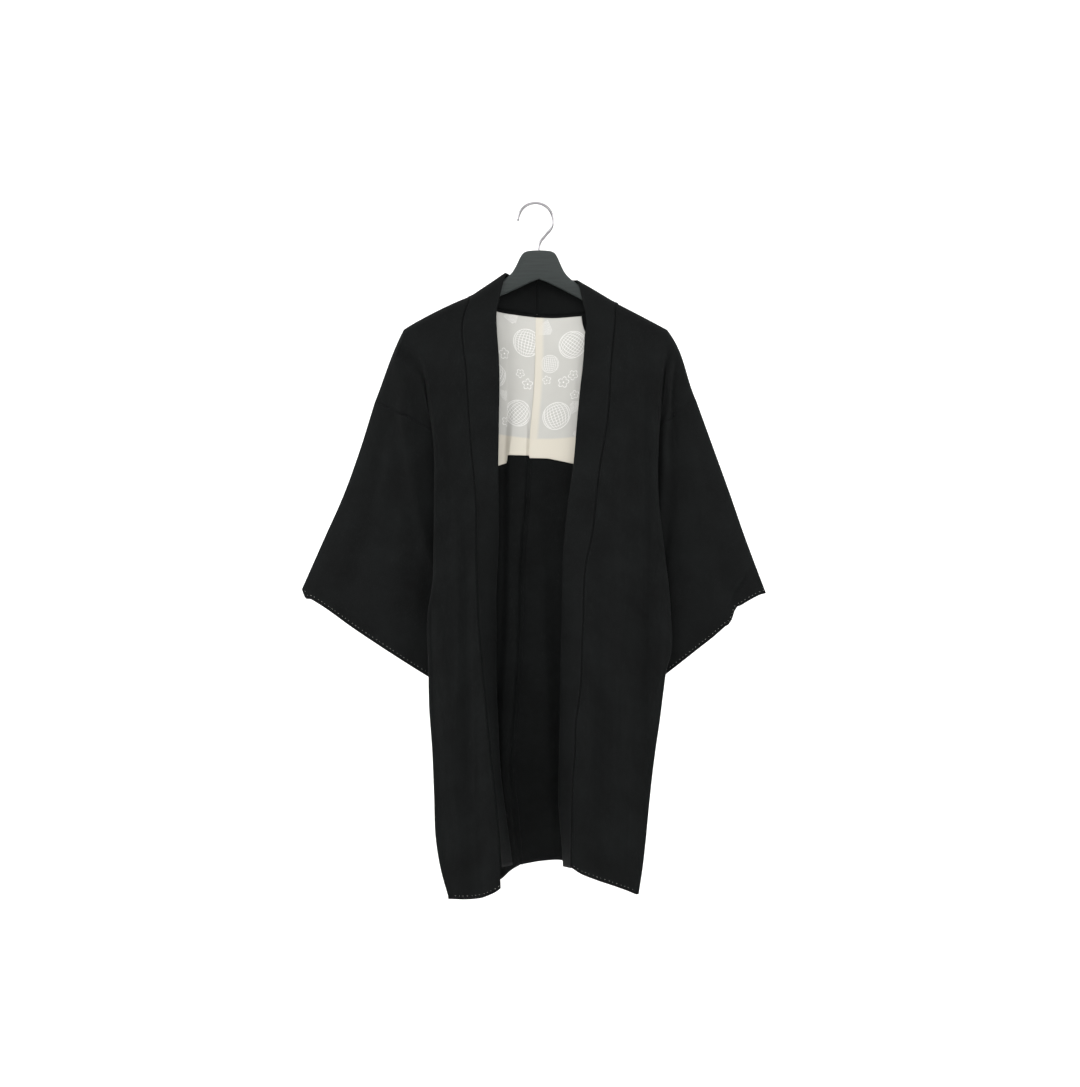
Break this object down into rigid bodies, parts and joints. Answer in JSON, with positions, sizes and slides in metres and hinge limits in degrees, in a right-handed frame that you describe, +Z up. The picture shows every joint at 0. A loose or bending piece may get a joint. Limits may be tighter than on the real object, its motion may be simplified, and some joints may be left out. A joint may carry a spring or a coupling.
{
  "type": "haori on a hanger",
  "caption": "Short black kimono jacket with wide open sleeves, an open front and a pale lined upper back, hanging on a charcoal hanger with a bright wire hook.",
  "frame": {"origin": "inside top of the hanger's hook, where a rail or wall hook carries it", "axes": "+Z up, the garment faces -Y, the wearer's right sleeve is at -X"},
  "size_m": [0.7393, 0.1116, 1.1086],
  "materials": {
    "crepe": "matt black silk crepe",
    "satin": "figured silver-white satin",
    "hanger": "satin charcoal",
    "hook": "bright wire"
  },
  "bodies": {
    "root": {"body_right": "crepe", "body_left": "crepe", "sleeve_right": "crepe", "sleeve_left": "crepe", "gusset_right": "crepe", "gusset_left": "crepe", "collar_right": "crepe", "collar_left": "crepe", "lining_right": "satin", "lining_left": "satin", "hanger_body": "hanger", "hanger_hook": "hook"}
  },
  "joints": []
}
